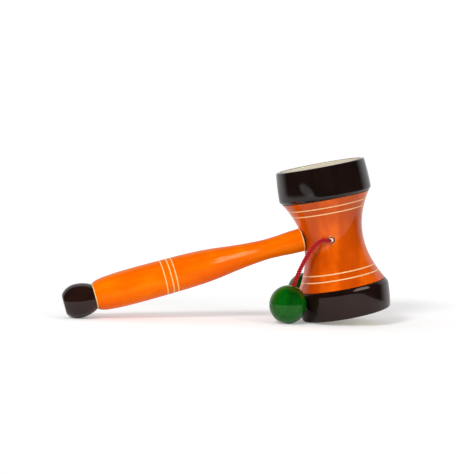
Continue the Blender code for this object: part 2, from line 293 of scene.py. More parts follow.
def lac(name, place, colours, tint, seed=0.0, flame=None, shine=0.48):
    """Lac melted onto turning wood and burnished.

    A clear gloss over even colour, a little thinner along the grain and where it pooled less.
    Colours are where it is thin, as it is all over and where it is thick.
    Bands of darker wood show through where flame gives their turn and their width in millimetres.
    """
    pale, plain, deep = (linear(colour) for colour in colours)
    gloss = {"Roughness": 0.09, "Specular IOR Level": shine, "Specular Tint": linear(tint)}
    made, tree, shader = surface(name, gloss)
    where = add(tree, "TexCoord", {}).outputs["Object"]
    # Grain 2.2 mm wide and 40 mm long, pools about 14 mm across, turning marks 0.8 mm apart
    grid = cells(place, 2.2, 2.2, 40)
    along = add(tree, "Mapping", {"Vector": where, **grid}, vector_type="TEXTURE")
    grain = add(tree, "TexNoise", {"Vector": along.outputs[0], "Scale": 1.0, "Detail": 4.0})
    grid = cells(place, 14, 14, 22)
    wide = add(tree, "Mapping", {"Vector": where, **grid}, vector_type="TEXTURE")
    cloudy = {"Vector": wide.outputs[0], "W": seed, "Scale": 1.0, "Detail": 2.0}
    pool = add(tree, "TexNoise", cloudy, noise_dimensions="4D")
    grid = cells(place, 40, 40, 0.8)
    around = add(tree, "Mapping", {"Vector": where, **grid}, vector_type="TEXTURE")
    mark = add(tree, "TexNoise", {"Vector": around.outputs[0], "Scale": 1.0, "Detail": 2.0})
    thin = add(tree, "MapRange", {"Value": grain.outputs[0], "From Min": 0.35, "From Max": 0.70})
    thick = add(tree, "MapRange", {"Value": pool.outputs[0], "From Min": 0.42, "From Max": 0.72})
    faint = {"From Min": 0.5, "From Max": 0.9, "To Max": 0.3}
    marked = add(tree, "MapRange", {"Value": mark.outputs[0], **faint})
    grained = add(tree, "Mix", {0: thin.outputs[0], 6: pale, 7: plain}, data_type="RGBA")
    shades = {6: grained.outputs[2], 7: deep}
    pooled = add(tree, "Mix", {0: thick.outputs[0], **shades}, data_type="RGBA")
    shades = {6: pooled.outputs[2], 7: deep}
    ringed = add(tree, "Mix", {0: marked.outputs[0], **shades}, data_type="RGBA")
    colour = ringed.outputs[2]
    if flame is not None:
        turn, width = flame
        grid = cells(place @ turn, width, width, width)
        across = add(tree, "Mapping", {"Vector": where, **grid}, vector_type="TEXTURE")
        # At this scale a band and its gap together fill one cell
        wave = {"Scale": math.pi / 10, "Distortion": 0.8, "Phase Offset": math.pi}
        band = add(tree, "TexWave", {"Vector": across.outputs[0], **wave})
        dark = {"From Min": 0.60, "From Max": 0.36, "To Max": 0.58}
        share = add(tree, "MapRange", {"Value": band.outputs[1], **dark})
        banded = add(tree, "Mix", {0: share.outputs[0], 6: colour, 7: deep}, data_type="RGBA")
        colour = banded.outputs[2]
    tree.links.new(colour, shader.inputs["Base Color"])
    height = {"Height": mark.outputs[0], "Strength": 0.08, "Distance": 0.02 * MM}
    tree.links.new(add(tree, "Bump", height).outputs[0], shader.inputs["Normal"])
    return made


def bare_wood(name, place, pale, plain):
    """Pale close-grained wood left by a cutting tool: matt, with short straight pores."""
    made, tree, shader = surface(name, {"Roughness": 0.62})
    where = add(tree, "TexCoord", {}).outputs["Object"]
    # Pores 9 mm long, drawn half a millimetre apart so that they show
    grid = cells(place, 0.5, 0.5, 9)
    along = add(tree, "Mapping", {"Vector": where, **grid}, vector_type="TEXTURE")
    pores = add(tree, "TexNoise", {"Vector": along.outputs[0], "Scale": 1.0, "Detail": 5.0})
    share = add(tree, "MapRange", {"Value": pores.outputs[0], "From Min": 0.34, "From Max": 0.68})
    shades = {6: linear(pale), 7: linear(plain)}
    grained = add(tree, "Mix", {0: share.outputs[0], **shades}, data_type="RGBA")
    tree.links.new(grained.outputs[2], shader.inputs["Base Color"])
    height = {"Height": share.outputs[0], "Strength": 0.3, "Distance": 0.03 * MM}
    tree.links.new(add(tree, "Bump", height).outputs[0], shader.inputs["Normal"])
    return made


def scraped_hide(name, place):
    """Hide scraped thin and dried on the drum: cream, matt, with streaks where the knife ran."""
    made, tree, shader = surface(name, {"Roughness": 0.5})
    where = add(tree, "TexCoord", {}).outputs["Object"]
    # Knife strokes 1 mm wide and 22 mm long, thicker patches about 8 mm across
    grid = cells(place, 22, 1.0, 8)
    along = add(tree, "Mapping", {"Vector": where, **grid}, vector_type="TEXTURE")
    stroke = add(tree, "TexNoise", {"Vector": along.outputs[0], "Scale": 1.0, "Detail": 4.0})
    grid = cells(place, 9, 7, 9)
    wide = add(tree, "Mapping", {"Vector": where, **grid}, vector_type="TEXTURE")
    patch = add(tree, "TexNoise", {"Vector": wide.outputs[0], "Scale": 1.0, "Detail": 3.0})
    ends = {"From Min": 0.38, "From Max": 0.64}
    streaked = add(tree, "MapRange", {"Value": stroke.outputs[0], **ends})
    ends = {"From Min": 0.35, "From Max": 0.80}
    patched = add(tree, "MapRange", {"Value": patch.outputs[0], **ends})
    shades = {6: linear("#ECE1CA"), 7: linear("#CCBA90")}
    scraped = add(tree, "Mix", {0: streaked.outputs[0], **shades}, data_type="RGBA")
    shades = {6: scraped.outputs[2], 7: linear("#E4D9BE")}
    dried = add(tree, "Mix", {0: patched.outputs[0], **shades}, data_type="RGBA")
    tree.links.new(dried.outputs[2], shader.inputs["Base Color"])
    height = {"Height": stroke.outputs[0], "Strength": 0.35, "Distance": 0.05 * MM}
    tree.links.new(add(tree, "Bump", height).outputs[0], shader.inputs["Normal"])
    return made


def twisted_cotton(name):
    """Cotton yarn dyed crimson and laid up tight: matt, a soft sheen, with painted shade between
    the strands.
    """
    sheen = {"Sheen Weight": 0.15, "Sheen Roughness": 0.4, "Sheen Tint": linear("#FFB0C0")}
    made, tree, shader = surface(name, {"Roughness": 0.7, **sheen})
    where = add(tree, "TexCoord", {}).outputs["Object"]
    # Fibres drawn 0.16 mm apart, coarser than real ones, so that they show
    grid = cells(Matrix.Identity(4), 0.16, 0.16, 0.4)
    along = add(tree, "Mapping", {"Vector": where, **grid}, vector_type="TEXTURE")
    fibre = add(tree, "TexNoise", {"Vector": along.outputs[0], "Scale": 1.0, "Detail": 4.0})
    share = add(tree, "MapRange", {"Value": fibre.outputs[0], "From Min": 0.34, "From Max": 0.68})
    shades = {6: linear("#FA2036"), 7: linear("#E41026")}
    yarn = add(tree, "Mix", {0: share.outputs[0], **shades}, data_type="RGBA")
    # Painted shade: the yarn is darkened to deep red in the grooves, where the crown attribute
    # falls to 0
    crown = add(tree, "Attribute", {}, attribute_name="crown")
    shades = {6: linear("#6A0210"), 7: yarn.outputs[2]}
    laid = add(tree, "Mix", {0: crown.outputs["Fac"], **shades}, data_type="RGBA")
    tree.links.new(laid.outputs[2], shader.inputs["Base Color"])
    height = {"Height": fibre.outputs[0], "Strength": 0.5, "Distance": 0.05 * MM}
    tree.links.new(add(tree, "Bump", height).outputs[0], shader.inputs["Normal"])
    return made


# Modelling


def evenly(start, end, count):
    """Values from start to end in a count of equal steps."""
    return [start + (end - start) * i / count for i in range(count + 1)]


def arc(centre, radius, start, end, count):
    """Points (r, z) on a circle round centre, at angles from the r axis."""
    r, z = centre
    turns = evenly(start, end, count)
    return [(r + radius * math.cos(a), z + radius * math.sin(a)) for a in turns]


def rounded(before, corner, after, reach):
    """A corner (r, z) of an outline, rounded off from reach before it to reach after it."""
    a, b, c = Vector(before), Vector(corner), Vector(after)
    start = b + (a - b).normalized() * reach
    end = b + (c - b).normalized() * reach
    points = []
    for t in evenly(0, 1, ROUND_STEPS):
        points.append(tuple(start * (1 - t) ** 2 + b * 2 * t * (1 - t) + end * t * t))
    return points


def turned(stretches, place, steps=TURN_STEPS):
    """A closed shape turned round Z from stretches of (r, z) outline, down its outer side.

    Each stretch is (outline, slot), where slot is the number of its material.
    """
    whole = bmesh.new()
    for outline, slot in stretches:
        bm = bmesh.new()
        verts = [bm.verts.new((r, 0, z)) for r, z in outline]
        edges = [bm.edges.new(pair) for pair in zip(verts, verts[1:])]
        about = {"cent": (0, 0, 0), "axis": (0, 0, 1), "dvec": (0, 0, 0), "angle": 2 * math.pi}
        bmesh.ops.spin(bm, geom=verts + edges, steps=steps, use_merge=True, **about)
        for face in bm.faces:
            face.material_index = slot
        stretch = bpy.data.meshes.new("stretch")
        bm.to_mesh(stretch)
        bm.free()
        whole.from_mesh(stretch)
        bpy.data.meshes.remove(stretch)
    bmesh.ops.remove_doubles(whole, verts=whole.verts, dist=MERGE)
    bmesh.ops.recalc_face_normals(whole, faces=whole.faces)
    bmesh.ops.transform(whole, matrix=place, verts=whole.verts)
    return whole


def piece(name, bm, finishes):
    """An object at the origin with a bmesh's shape, shaded smooth but for its sharp edges."""
    mesh = bpy.data.meshes.new(name)
    bm.to_mesh(mesh)
    bm.free()
    for finish in finishes:
        mesh.materials.append(finish)
    mesh.shade_smooth()
    mesh.set_sharp_from_angle(angle=SHARP)
    made = bpy.data.objects.new(name, mesh)
    scene.collection.objects.link(made)
    return made


def stand_for(made, body, slot, *nodes):
    """The piece rides on a body and stands for CAD nodes, whose parts are hidden. The slot is not
    used.
    """
    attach(made, body)
    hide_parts(*nodes)
    return made


def drill(target, cutter):
    """Cuts a piece with a closed shape, whose material the cut faces take."""
    cut = target.modifiers.new("Drill", "BOOLEAN")
    cut.object = cutter
    cut.solver = "EXACT"
    cut.material_mode = "TRANSFER"
    depsgraph = bpy.context.evaluated_depsgraph_get()
    target.data = bpy.data.meshes.new_from_object(target.evaluated_get(depsgraph))
    target.modifiers.remove(cut)
    target.data.set_sharp_from_angle(angle=SHARP)
    bpy.data.objects.remove(cutter)


def ragged(angle, depth):
    """A factor that wanders round a hole's rim as splinters do."""
    broad = 0.5 * math.sin(3 * angle + 0.7)
    fine = 0.3 * math.sin(7 * angle) + 0.2 * math.sin(13 * angle)
    return 1 + depth * (broad + fine)


def parted(outline, z):
    """The parts of an outline that runs down in z, above and below a height."""
    for i, ((r0, z0), (r1, z1)) in enumerate(zip(outline, outline[1:])):
        if z0 > z >= z1:
            point = (r0 + (r1 - r0) * (z0 - z) / (z0 - z1), z)
            return [*outline[: i + 1], point], [point, *outline[i + 1 :]]
    raise ValueError("no part of the outline lies at that height")


def lined(outline, lines):
    """Stretches of an outline that runs down in z: lac (0), and lines cut down to the wood (1)."""
    stretches = []
    for line in sorted(lines, reverse=True):
        above, outline = parted(outline, line + LINE_WIDTH / 2)
        across, outline = parted(outline, line - LINE_WIDTH / 2)
        start, end = across[0], across[-1]
        upper = (start[0] - LINE_DEPTH, line + LINE_WIDTH / 4)
        lower = (end[0] - LINE_DEPTH, line - LINE_WIDTH / 4)
        stretches += [(above, 0), ([start, upper, lower, end], 1)]
    return [*stretches, (outline, 0)]


# Camera, light and floor


def camera():
    """A long lens from a little above and to the left, rolled as the photograph is."""
    data = bpy.data.cameras.new("camera")
    data.lens = CAMERA_LENS
    data.sensor_width = CAMERA_SENSOR
    made = bpy.data.objects.new("camera", data)
    level = math.cos(CAMERA_TILT)
    right, ahead = math.sin(CAMERA_TURN) * level, math.cos(CAMERA_TURN) * level
    forward = Vector((right, ahead, -math.sin(CAMERA_TILT)))
    made.location = CAMERA_AIM - forward * CAMERA_DISTANCE
    made.rotation_mode = "QUATERNION"
    roll = Quaternion((0, 0, 1), CAMERA_ROLL)
    made.rotation_quaternion = forward.to_track_quat("-Z", "Y") @ roll
    scene.collection.objects.link(made)
    scene.camera = made


def softbox(name, place, aim, size, power, lit=None):
    """A soft lamp that lights everything, or only one piece. It shows in no gloss."""
    data = bpy.data.lights.new(name, "AREA")
    data.shape = "RECTANGLE"
    data.size, data.size_y = size
    data.energy = power
    made = bpy.data.objects.new(name, data)
    made.location = place
    made.rotation_mode = "QUATERNION"
    made.rotation_quaternion = (Vector(aim) - Vector(place)).to_track_quat("-Z", "Y")
    made.visible_camera = False
    made.visible_glossy = False
    scene.collection.objects.link(made)
    if lit is not None:
        only = bpy.data.collections.new(name + "_lights")
        only.objects.link(lit)
        made.light_linking.receiver_collection = only
    return made


def glint(name, lamp, lit, lean=0.0):
    """A soft-ended lamp that is seen in the gloss of one piece and lights nothing else."""
    made = softbox(name, *lamp, lit)
    made.data.shape = "ELLIPSE"
    made.rotation_quaternion = made.rotation_quaternion @ Quaternion((0, 0, 1), lean)
    made.visible_diffuse = False
    made.visible_glossy = True


def white_sweep():
    """A white sweep behind, seen as the background and in the gloss, and a dim room in front."""
    world = bpy.data.worlds.new("white_sweep")
    world.use_nodes = True
    tree = world.node_tree
    tree.nodes.clear()
    way = add(tree, "TexCoord", {}).outputs["Generated"]
    ahead = add(tree, "VectorMath", {0: way, 1: SWEEP_WAY}, operation="DOT_PRODUCT")
    levels = {"To Min": ROOM_LEVEL, "To Max": SWEEP_LEVEL}
    edge = {"From Min": SWEEP_EDGE[0], "From Max": SWEEP_EDGE[1]}
    mirrored = add(tree, "MapRange", {"Value": ahead.outputs["Value"], **edge, **levels})
    path = add(tree, "LightPath", {})
    rays = {0: path.outputs["Is Glossy Ray"], 1: path.outputs["Is Transmission Ray"]}
    mirror_ray = add(tree, "Math", rays, operation="MAXIMUM")
    lit = add(tree, "Mix", {0: mirror_ray.outputs[0], 2: AMBIENT, 3: mirrored.outputs[0]})
    seen = add(tree, "Mix", {0: path.outputs["Is Camera Ray"], 2: lit.outputs[0], 3: 1.0})
    light = add(tree, "Background", {"Color": linear("#FFFFFF"), "Strength": seen.outputs[0]})
    add(tree, "OutputWorld", {"Surface": light.outputs[0]})
    scene.world = world


def pale_floor():
    """A matt white table top. The camera sees a little white added, so that it meets the sweep."""
    bm = bmesh.new()
    bmesh.ops.create_grid(bm, x_segments=1, y_segments=1, size=0.5)
    (left, right), (front, back) = FLOOR
    bmesh.ops.scale(bm, vec=(right - left, back - front, 1), verts=bm.verts)
    centre = ((left + right) / 2, (front + back) / 2, 0)
    bmesh.ops.translate(bm, vec=centre, verts=bm.verts)
    matt = {"Base Color": linear("#FCFCFC"), "Roughness": 0.9, "Specular IOR Level": 0.0}
    matt["Emission Color"] = linear("#FFFFFF")
    made, tree, shader = surface("matt_white_laminate", matt)
    where = add(tree, "TexCoord", {}).outputs["Object"]
    away = add(tree, "VectorMath", {0: where}, operation="LENGTH")
    fade = {"From Min": FLOOR_FADE[0], "From Max": FLOOR_FADE[1]}
    white = {"To Min": FLOOR_GLOW[0], "To Max": FLOOR_GLOW[1]}
    added = add(tree, "MapRange", {"Value": away.outputs["Value"], **fade, **white})
    path = add(tree, "LightPath", {}).outputs["Is Camera Ray"]
    glow = add(tree, "Math", {0: path, 1: added.outputs[0]}, operation="MULTIPLY")
    tree.links.new(glow.outputs[0], shader.inputs["Emission Strength"])
    piece("floor", bm, [made])


scene.view_settings.view_transform = "Standard"
camera()
white_sweep()
pale_floor()
softbox("key", *KEY)
softbox("fill", *FILL)

# Finishes

# Lac where it is thin, all over and thick
ORANGE = ("#F06604", "#E45802", "#BE4400")
AMBER = ("#EE7500", "#EE6600", "#EA5800")
BLACK_BROWN = ("#1F120E", "#180E0B", "#110908")
DARK_BROWN = ("#2A1712", "#20110E", "#160C0A")
GREEN = ("#096810", "#04560A", "#023406")

# Where the pools lie, and how the drum's bands of darker wood run
DRUM_SEED = 1.3
HANDLE_SEED = 6.5
FLAME_TURN = Matrix.Rotation(math.radians(-19), 4, "Z")
FLAME_LEAN = Matrix.Rotation(math.radians(9), 4, "Y")
FLAME = (FLAME_TURN @ FLAME_LEAN, 21)
# The way that the knife ran over the hides
KNIFE_TURN = Matrix.Rotation(math.radians(58), 4, "Z")
# The handle's lac is worn duller than the rest
HANDLE_SHINE = 0.14

drum_lac = lac("burnished_orange_lac", drum_seat, ORANGE, "#FFE4D0", DRUM_SEED, FLAME)
handle_lac = lac(
    "burnished_amber_lac", handle_seat, AMBER, "#FFD8B1", HANDLE_SEED, shine=HANDLE_SHINE
)
upper_lac = lac("burnished_black_brown_lac", drum_seat, BLACK_BROWN, "#FFFFFF")
# The lower hoop has the upper's lac; its gloss is tinted pink as a painted warm reflection
lower_lac = lac("burnished_black_brown_lac_warm_painted_reflection", drum_seat, BLACK_BROWN, "#FFE6DE")
knob_lac = lac("burnished_dark_brown_lac", handle_seat, DARK_BROWN, "#FFF0F0")
drum_wood = bare_wood("turned_pale_wood", drum_seat, "#FFDEAE", "#F6C488")
handle_wood = bare_wood("turned_pale_handle_wood", handle_seat, "#FFD696", "#F6BC70")
chipped_wood = bare_wood("lac_stained_wood", drum_seat, "#F4AE7C", "#E89660")
# Painted shade: the cord holes' walls, seen as a dark ring round each peg, are coloured dark brown
hole_shade_wood = bare_wood("painted_shade_hole_wood", drum_seat, "#4A2412", "#2C1408")
# Painted shade: the handle's tenon, where it shows in the gap at the drum, is coloured dark wood
shaded_tenon_wood = bare_wood("painted_shade_tenon_wood", handle_seat, "#3A1C0E", "#241006")
peg_wood = bare_wood("whittled_pale_wood", drum_seat, "#FFDCC0", "#F4C0A0")
hide = scraped_hide("scraped_cream_hide", drum_seat @ KNIFE_TURN)
cotton = twisted_cotton("twisted_crimson_cotton")


# Drum


def body_radius(z):
    """The drum's outer radius at a height from its waist."""
    flare, edge = (UPPER_FLARE, UPPER_EDGE) if z > 0 else (LOWER_FLARE, LOWER_EDGE)
    return WAIST_RADIUS + (flare - WAIST_RADIUS) * (z / edge) ** 2


def chamber_radius(z):
    """The hollow drum's inner radius at a height from its waist."""
    waist = WAIST_RADIUS - WAIST_WALL
    return waist + (SPIGOT_RADIUS - END_WALL - waist) * (z / SHELL_END) ** 2


def mouth(side):
    """Where a cord hole breaks the drum's surface, in the drum's own axes."""
    out = math.sqrt(body_radius(HOLE_RISE) ** 2 - HOLE_OFFSET**2)
    return Vector((-HOLE_OFFSET, side * out, HOLE_RISE))


def chip_cutter(side):
    """A shallow ragged cone square to the surface, where lac has chipped off round a cord hole."""
    flare = (CHIP_RADIUS - HOLE_RADIUS) / CHIP_DEPTH
    wide, low = CHIP_RADIUS + flare * PROUD, -CHIP_DEPTH
    outline = [(0, PROUD), (wide, PROUD), (HOLE_RADIUS, low), (0, low)]
    out = mouth(side) * Vector((1, 1, 0))
    bm = turned([(outline, 0)], Matrix.Identity(4), HOLE_STEPS)
    for vert in bm.verts:
        factor = ragged(math.atan2(vert.co.y, vert.co.x), CHIP_RAGGED)
        bmesh.ops.scale(bm, vec=(factor, factor, 1), verts=[vert])
    place = seat(mouth(side), out, Vector((0, 0, 1)))
    bmesh.ops.transform(bm, matrix=drum_seat @ place, verts=bm.verts)
    return piece("chip_cutter", bm, [chipped_wood])


def hole_cutter():
    """A straight cord hole through both walls, coloured dark brown inside as painted shade round
    the peg.
    """
    far = mouth(1).y + PROUD
    outline = [(0, far), (HOLE_RADIUS, far), (HOLE_RADIUS, -far), (0, -far)]
    place = seat(Vector((-HOLE_OFFSET, 0, HOLE_RISE)), Vector((0, 1, 0)), Vector((1, 0, 0)))
    return piece("hole_cutter", turned([(outline, 0)], drum_seat @ place, HOLE_STEPS), [hole_shade_wood])


def tenon_cutter():
    """The socket in the drum's wall for the handle's tenon."""
    start, end = WAIST_RADIUS - 2 * WAIST_WALL, WAIST_RADIUS + WAIST_WALL
    radius = TENON_RADIUS + SEAT_GAP
    outline = [(0, end), (radius, end), (radius, start), (0, start)]
    return piece("tenon_cutter", turned([(outline, 0)], handle_seat, TENON_STEPS), [drum_wood])


def drum_body():
    """The hollow, waisted body, with a spigot at each end for its hoop."""
    upper_ledge, lower_ledge = UPPER_EDGE - SEAT_GAP, LOWER_EDGE - SEAT_GAP
    side = [(body_radius(z), z) for z in evenly(upper_ledge, -lower_ledge, BODY_STEPS)]
    inside = [(chamber_radius(z), z) for z in evenly(-SHELL_END, SHELL_END, WALL_STEPS)]
    top = [
        (chamber_radius(SHELL_END), SHELL_END),
        (SPIGOT_RADIUS, SHELL_END),
        (SPIGOT_RADIUS, upper_ledge),
        side[0],
    ]
    foot = [side[-1], (SPIGOT_RADIUS, -lower_ledge), (SPIGOT_RADIUS, -SHELL_END), inside[0]]
    stretches = [(top, 1), *lined(side, DRUM_LINES), (foot + inside[1:], 1)]
    made = piece("drum_body", turned(stretches, drum_seat), [drum_lac, drum_wood])
    for cutter in (tenon_cutter(), chip_cutter(-1), chip_cutter(1), hole_cutter()):
        drill(made, cutter)
    stand_for(made, "rattle", "orange_drum_lacquer", "drum_shell")


def hoop(name, node, size, turn, finish):
    """A hoop, its rim up before turn: rounded rim, barrelled wall, shoulder, bevel to the body."""
    edge = HALF - size.height
    shoulder = edge + size.bevel
    rim_top = HALF - RIM_ROUND
    rim = arc((size.rim - RIM_ROUND, rim_top), RIM_ROUND, math.pi / 2, 0, 10)
    swell = size.shoulder - size.rim
    wall = []
    for share in evenly(1, 0, WALL_STEPS)[1:]:
        wall.append((size.shoulder - swell * share**2, shoulder + (rim_top - shoulder) * share))
    foot = (size.foot, edge)
    ledge = (size.bore, edge)
    corner = rounded(wall[-4], wall[-1], foot, SHOULDER_ROUND)
    heel = rounded(wall[-1], foot, ledge, FOOT_ROUND)
    wall = [p for p in wall if p[1] > corner[0][1]]
    outline = [ledge, (size.bore, HALF), *rim, *wall, *corner, *heel, ledge]
    made = piece(name, turned([(outline, 0)], drum_seat @ turn), [finish])
    return stand_for(made, "rattle", "dark_lacquer", node)


def head(name, node, turn):
    """A hide head drawn tight in its hoop, a little dished, its edge turned up against the bore."""
    top = HALF - HEAD_RECESS
    foot = top - HEAD_THICKNESS
    radius = SPIGOT_RADIUS
    lip = radius - LIP_THICKNESS
    flat = lip - LIP_ROUND
    dish = []
    for share in evenly(0, 1, HEAD_STEPS):
        dish.append((flat * share, top - HEAD_DISH * (1 - share**2)))
    bend = arc((flat, top + LIP_ROUND), LIP_ROUND, -math.pi / 2, 0, 8)
    half = LIP_THICKNESS / 2
    edge = arc((lip + half, top + LIP_ROUND), half, math.pi, 0, ROUND_STEPS)
    outline = [*dish, *bend[1:], *edge[1:], (radius, foot), (0, foot)]
    made = piece(name, turned([(outline, 0)], drum_seat @ turn), [hide])
    stand_for(made, "rattle", "cream_head", node)


def peg(name, node, side):
    """A pin in the cord's hole, its end whittled round with a dimple from the tool."""
    out = mouth(1).y - PEG_RECESS
    inner = math.sqrt(chamber_radius(HOLE_RISE) ** 2 - HOLE_OFFSET**2)
    dimple = [(r, out - depth) for r, depth in PEG_DIMPLE]
    edge = arc((PEG_RADIUS - PEG_ROUND, out - PEG_ROUND), PEG_ROUND, math.pi / 2, 0, 5)
    outline = [*dimple, *edge, (PEG_RADIUS, inner), (0, inner)]
    across = drum_seat.to_3x3() @ Vector((0, side, 0))
    middle_of_hole = drum_seat @ Vector((-HOLE_OFFSET, 0, HOLE_RISE))
    place = seat(middle_of_hole, across, Vector((1, 0, 0)))
    made = piece(name, turned([(outline, 0)], place, PEG_STEPS), [peg_wood])
    stand_for(made, "rattle", "pale_wood", node)


# Handle


def fair(keys, per_span):
    """Points on a smooth curve through (place, radius) keys that doesn't overshoot them."""
    spans = [(b[1] - a[1]) / (b[0] - a[0]) for a, b in zip(keys, keys[1:])]
    slopes = [spans[0]]
    for before, after in zip(spans, spans[1:]):
        together = before * after
        slopes.append(2 * together / (before + after) if together > 0 else 0.0)
    slopes.append(spans[-1])
    points = [keys[0]]
    for i, (a, b) in enumerate(zip(keys, keys[1:])):
        width = b[0] - a[0]
        for t in evenly(0, 1, per_span)[1:]:
            rise = a[1] * (1 + 2 * t) * (1 - t) ** 2 + b[1] * t * t * (3 - 2 * t)
            lean = slopes[i] * t * (1 - t) ** 2 - slopes[i + 1] * t * t * (1 - t)
            points.append((a[0] + t * width, rise + width * lean))
    return points


def between(start, end, shares):
    """Keys from start to end, both (place, radius), at shares of the way and of the change."""
    place, radius = start
    length, growth = end[0] - place, end[1] - radius
    return [start] + [(place + way * length, radius + change * growth) for way, change in shares]


def handle():
    """The turned handle: swelling grip, neck, flared end at the drum and a tenon at each end."""
    joint = (KNOB_JOINT, KNOB_JOINT_RADIUS)
    swell = (HANDLE_END + SWELL[0], SWELL[1])
    neck = (HANDLE_END + NECK[0], NECK[1])
    drum_end = (HANDLE_END, HANDLE_END_RADIUS)
    fall = tuple((1 - way, 1 - change) for way, change in reversed(SWELL_FALL))
    keys = between(joint, swell, KNOB_SHOULDER) + between(swell, neck, fall)
    keys += between(neck, drum_end, END_FLARE) + [drum_end]
    side = [(r, place) for place, r in fair(keys, 8)]
    tenon_end = WAIST_RADIUS - WAIST_WALL
    far_end = KNOB_JOINT + KNOB_TENON_LENGTH
    far = [(0, far_end), (KNOB_TENON_RADIUS, far_end), (KNOB_TENON_RADIUS, KNOB_JOINT), side[0]]
    near = [side[-1], (TENON_RADIUS, HANDLE_END)]
    tenon = [near[-1], (TENON_RADIUS, tenon_end), (0, tenon_end)]
    knob_rim, rest = parted(side, KNOB_JOINT - HANDLE_RIM)
    grip, drum_rim = parted(rest, HANDLE_END + HANDLE_RIM)
    grip = lined(grip, HANDLE_LINES)
    # The tenon at the drum end takes the dark wood of painted shade in the gap
    stretches = [(far, 1), (knob_rim, 1), *grip, (drum_rim, 1), (near, 1), (tenon, 2)]
    finishes = [handle_lac, handle_wood, shaded_tenon_wood]
    made = piece("turned_handle", turned(stretches, handle_seat), finishes)
    return stand_for(made, "rattle", "orange_handle_lacquer", "handle")


def bulge(belly_z, belly_r, cut_z, cut_r, count):
    """Points (r, z) on an ellipse from its cut end up to its belly."""
    half_length = (cut_z - belly_z) / math.sqrt(1 - (cut_r / belly_r) ** 2)
    turns = evenly(math.asin(cut_r / belly_r), math.pi / 2, count)
    return [(belly_r * math.sin(a), belly_z + half_length * math.cos(a)) for a in turns]


def knob():
    """The dark knob: two unequal bulges that meet at its belly, the outer one cut off flat."""
    start = KNOB_JOINT + SEAT_GAP
    belly = start + KNOB_BELLY
    outer = bulge(belly, KNOB_RADIUS, KNOB_END, KNOB_END_RADIUS, WALL_STEPS)
    inner = bulge(belly, KNOB_RADIUS, start, KNOB_JOINT_RADIUS, WALL_STEPS)[:-1]
    end = rounded((0, KNOB_END), outer[0], outer[WALL_STEPS // 4], KNOB_END_ROUND)
    outer = [p for p in outer if p[1] < end[-1][1]]
    bore = KNOB_TENON_RADIUS + SEAT_GAP
    bore_end = KNOB_JOINT + KNOB_TENON_LENGTH + SEAT_GAP
    socket = [(bore, start), (bore, bore_end), (0, bore_end)]
    outline = [(0, KNOB_END), *end, *outer, *reversed(inner), *socket]
    made = piece("turned_knob", turned([(outline, 0)], handle_seat), [knob_lac])
    stand_for(made, "rattle", "dark_lacquer", "handle_knob")


# Beads, cords and knots


def bead(name, body, node, place):
    """A ball a little longer than wide, its bore chipped to bare wood where the cord goes in."""
    green = lac("burnished_green_lac_" + name, place, GREEN, "#D8E6D4")
    wood = bare_wood("drilled_pale_wood_" + name, place, "#F2D8B4", "#D9B384")
    bore = CORD_RADIUS + SEAT_GAP
    chip = math.asin(BEAD_CHIP / BEAD_RADIUS)
    foot = math.pi - math.asin(COUNTERBORE_RADIUS / BEAD_RADIUS)
    turns = evenly(chip, foot, BALL_STEPS)
    ball = [(BEAD_RADIUS * math.sin(a), BEAD_LENGTH / 2 * math.cos(a)) for a in turns]
    top = ball[0][1]
    chipped = [(bore, top - BEAD_CHIP_DEPTH), ball[0]]
    hollow = [
        ball[-1],
        (COUNTERBORE_RADIUS, -COUNTERBORE_FLOOR),
        (bore, -COUNTERBORE_FLOOR),
        chipped[0],
    ]
    bm = turned([(chipped, 1), (ball, 0), (hollow, 1)], Matrix.Identity(4))
    for vert in bm.verts:
        if vert.co.z > top - MERGE:
            factor = ragged(math.atan2(vert.co.y, vert.co.x), BEAD_RAGGED)
            vert.co.x *= factor
            vert.co.y *= factor
    bmesh.ops.transform(bm, matrix=place, verts=bm.verts)
    made = piece(name, bm, [green, wood])
    return stand_for(made, body, "green_lacquer", node)


def bezier(a, b, c, d, count):
    """Points on a curve from a to d that sets out towards b and comes in from c."""
    points = []
    for t in evenly(0, 1, count):
        u = 1 - t
        points.append(a * u**3 + b * 3 * t * u**2 + c * 3 * t * t * u + d * t**3)
    return points


def spaced(route, gap):
    """Points along a route, about gap apart."""
    runs = [(b - a).length for a, b in zip(route, route[1:])]
    count = round(sum(runs) / gap)
    points, passed, i = [], 0.0, 0
    for distance in evenly(0, sum(runs), count):
        while i < len(runs) - 1 and passed + runs[i] < distance:
            passed += runs[i]
            i += 1
        points.append(route[i].lerp(route[i + 1], min(1.0, (distance - passed) / runs[i])))
    return points


def sides_along(points):
    """A way across the route at each point, carried along it without twisting."""
    ways = [(b - a).normalized() for a, b in zip(points, points[1:])]
    ways.append(ways[-1])
    side = ways[0].orthogonal().normalized()
    sides = []
    for way in ways:
        side = (side - way * side.dot(way)).normalized()
        sides.append((side, way.cross(side)))
    return sides


def as_mesh(name, curve, centre_line):
    """A curve's tubes as a mesh piece, its crown attribute 0 in the lay's grooves and 1 outside, to
    mask painted shade.
    """
    tubes = bpy.data.objects.new(name, curve)
    scene.collection.objects.link(tubes)
    depsgraph = bpy.context.evaluated_depsgraph_get()
    mesh = bpy.data.meshes.new_from_object(tubes.evaluated_get(depsgraph))
    bpy.data.objects.remove(tubes)
    mesh.shade_smooth()
    near = KDTree(len(centre_line))
    for i, point in enumerate(centre_line):
        near.insert(point, i)
    near.balance()
    crown = mesh.attributes.new("crown", "FLOAT", "POINT")
    for i, vert in enumerate(mesh.vertices):
        out = near.find(vert.co)[2] / CORD_RADIUS
        crown.data[i].value = min(1.0, max(0.0, (out - GROOVE) / (CROWN - GROOVE)))
    made = bpy.data.objects.new(name, mesh)
    scene.collection.objects.link(made)
    return made


